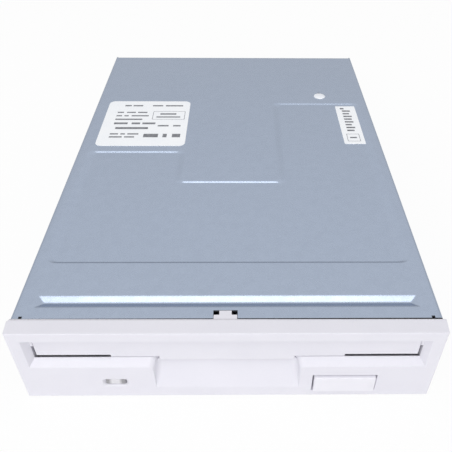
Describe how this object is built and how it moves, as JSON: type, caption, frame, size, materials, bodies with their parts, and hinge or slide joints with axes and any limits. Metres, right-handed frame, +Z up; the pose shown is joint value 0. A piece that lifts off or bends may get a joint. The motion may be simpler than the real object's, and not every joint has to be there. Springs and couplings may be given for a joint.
{
  "type": "internal floppy disk drive",
  "caption": "Low rectangular disk drive with a moulded front panel, sprung slot door, finger notch and eject button, pressed steel cover, cast tray, spindle motor and stepped head carriage.",
  "frame": {"origin": "middle of the bounding box, at the drive's underside", "axes": "+X to the right seen from the front panel, +Y from the front panel to the rear connectors, +Z up"},
  "size_m": [0.1016, 0.1456, 0.0254],
  "materials": {
    "cast_aluminium": "satin casting",
    "cover_steel": "galvanised sheet",
    "panel_plastic": "fine matt",
    "lens_plastic": "clear",
    "zinc_steel": "zinc plated",
    "spring_steel": "drawn wire",
    "bright_steel": "ground",
    "board": "solder mask",
    "black_plastic": "moulded",
    "white_plastic": "moulded",
    "grey_plastic": "moulded",
    "copper": "enamelled wire",
    "bronze": "sintered",
    "gold_pin": "plated",
    "magnet": "bonded",
    "lamination": "stacked",
    "head_ceramic": "polished",
    "label_paper": "paper",
    "flex_film": "film",
    "flat_cable": "film"
  },
  "bodies": {
    "frame": {"chassis": "cast_aluminium", "top_cover": "cover_steel", "bezel": "panel_plastic", "door_spring": "spring_steel", "led_lens": "lens_plastic", "activity_led": "lens_plastic", "slider_studs": "bright_steel", "return_springs": "spring_steel", "lever_pivot": "bright_steel", "lever_spring": "spring_steel", "motor_board": "board", "motor_board_parts": "black_plastic", "motor_board_screws": "zinc_steel", "motor_flat_cable": "flat_cable", "motor_bearing": "bronze", "stator_core": "lamination", "stator_coils": "copper", "guide_rod": "bright_steel", "stepper_bracket": "zinc_steel", "stepper_case": "zinc_steel", "stepper_coils": "copper", "stepper_screws": "zinc_steel", "main_board": "board", "main_board_parts": "black_plastic", "main_board_screws": "zinc_steel", "data_header": "black_plastic", "data_pins": "gold_pin", "power_header": "white_plastic", "power_pins": "bright_steel", "flex_socket": "white_plastic", "head_flex_cable": "flex_film", "switch_bodies": "black_plastic", "track_zero_sensor": "black_plastic", "rating_label": "label_paper", "code_label": "label_paper"},
    "door": {"slot_door": "panel_plastic"},
    "slider": {"eject_slider": "zinc_steel", "eject_button": "panel_plastic"},
    "lift": {"disk_holder": "zinc_steel", "holder_pins": "bright_steel"},
    "lever": {"shutter_lever": "white_plastic"},
    "rotor": {"rotor_cup": "zinc_steel", "rotor_magnet": "magnet", "spindle_hub": "bright_steel", "chuck_magnet": "magnet", "spindle_shaft": "bright_steel"},
    "hub_pin": {"drive_pin": "bright_steel"},
    "screw": {"lead_screw": "bright_steel", "stepper_rotor": "magnet"},
    "carriage": {"head_carriage": "grey_plastic", "lower_head": "head_ceramic", "needle": "bright_steel", "arm_pin": "bright_steel", "arm_spring": "spring_steel"},
    "arm": {"upper_arm": "grey_plastic", "upper_head": "head_ceramic"},
    "write_protect": {"write_protect_plunger": "white_plastic"},
    "density": {"density_plunger": "white_plastic"},
    "disk_in": {"disk_in_plunger": "white_plastic"}
  },
  "joints": [
    {"name": "door_hinge", "type": "hinge", "parent": "frame", "child": "door", "pos_m": [0, -0.0693, 0.0206], "axis": [1, 0, 0], "range_deg": [0, 88], "stiffness_Nm_per_rad": 0.0006, "springref_deg": -17.19, "deforming": ["door_spring"]},
    {"name": "eject_slide", "type": "slide", "parent": "frame", "child": "slider", "axis": [0, -1, 0], "range_m": [-0.001, 0.0065], "deforming": ["return_springs"]},
    {"name": "lift_drop", "type": "slide", "parent": "frame", "child": "lift", "axis": [0, 0, -1], "range_m": [-0.00037, 0.00241]},
    {"name": "lever_swing", "type": "hinge", "parent": "frame", "child": "lever", "pos_m": [0.038, 0.0288, 0.0209], "axis": [0, 0, -1], "range_deg": [-9, 58.1], "deforming": ["lever_spring"]},
    {"name": "spindle_spin", "type": "hinge", "parent": "frame", "child": "rotor", "pos_m": [0, -0.0172, 0.008], "axis": [0, 0, 1], "continuous": true},
    {"name": "hub_pin_press", "type": "slide", "parent": "rotor", "child": "hub_pin", "axis": [0, 0, -1], "range_m": [0, 0.0013], "stiffness_N_per_m": 80, "springref_m": -0.001},
    {"name": "screw_turn", "type": "hinge", "parent": "frame", "child": "screw", "pos_m": [-0.018, 0.0278, 0.0082], "axis": [0, 1, 0], "range_deg": [0, 1421]},
    {"name": "carriage_slide", "type": "slide", "parent": "frame", "child": "carriage", "axis": [0, -1, 0], "range_m": [0, 0.0148], "deforming": ["head_flex_cable"]},
    {"name": "arm_lift", "type": "hinge", "parent": "carriage", "child": "arm", "pos_m": [0, 0.0453, 0.017], "axis": [1, 0, 0], "range_deg": [-1.76, 11.32], "deforming": ["arm_spring"]},
    {"name": "write_protect_press", "type": "slide", "parent": "frame", "child": "write_protect", "axis": [0, 0, -1], "range_m": [0, 0.0019], "stiffness_N_per_m": 100, "springref_m": -0.001},
    {"name": "density_press", "type": "slide", "parent": "frame", "child": "density", "axis": [0, 0, -1], "range_m": [0, 0.0019], "stiffness_N_per_m": 100, "springref_m": -0.001},
    {"name": "disk_in_press", "type": "slide", "parent": "frame", "child": "disk_in", "axis": [0, 0, -1], "range_m": [0, 0.0019], "stiffness_N_per_m": 100, "springref_m": -0.001}
  ],
  "couplings": [
    {"joint": "lift_drop", "follows": "eject_slide", "ratio": 0.36923},
    {"joint": "lever_swing", "follows": "eject_slide", "rad_per_m": 155.74},
    {"joint": "arm_lift", "follows": "eject_slide", "rad_per_m": 30.342},
    {"joint": "screw_turn", "follows": "carriage_slide", "rad_per_m": 1675.5}
  ]
}
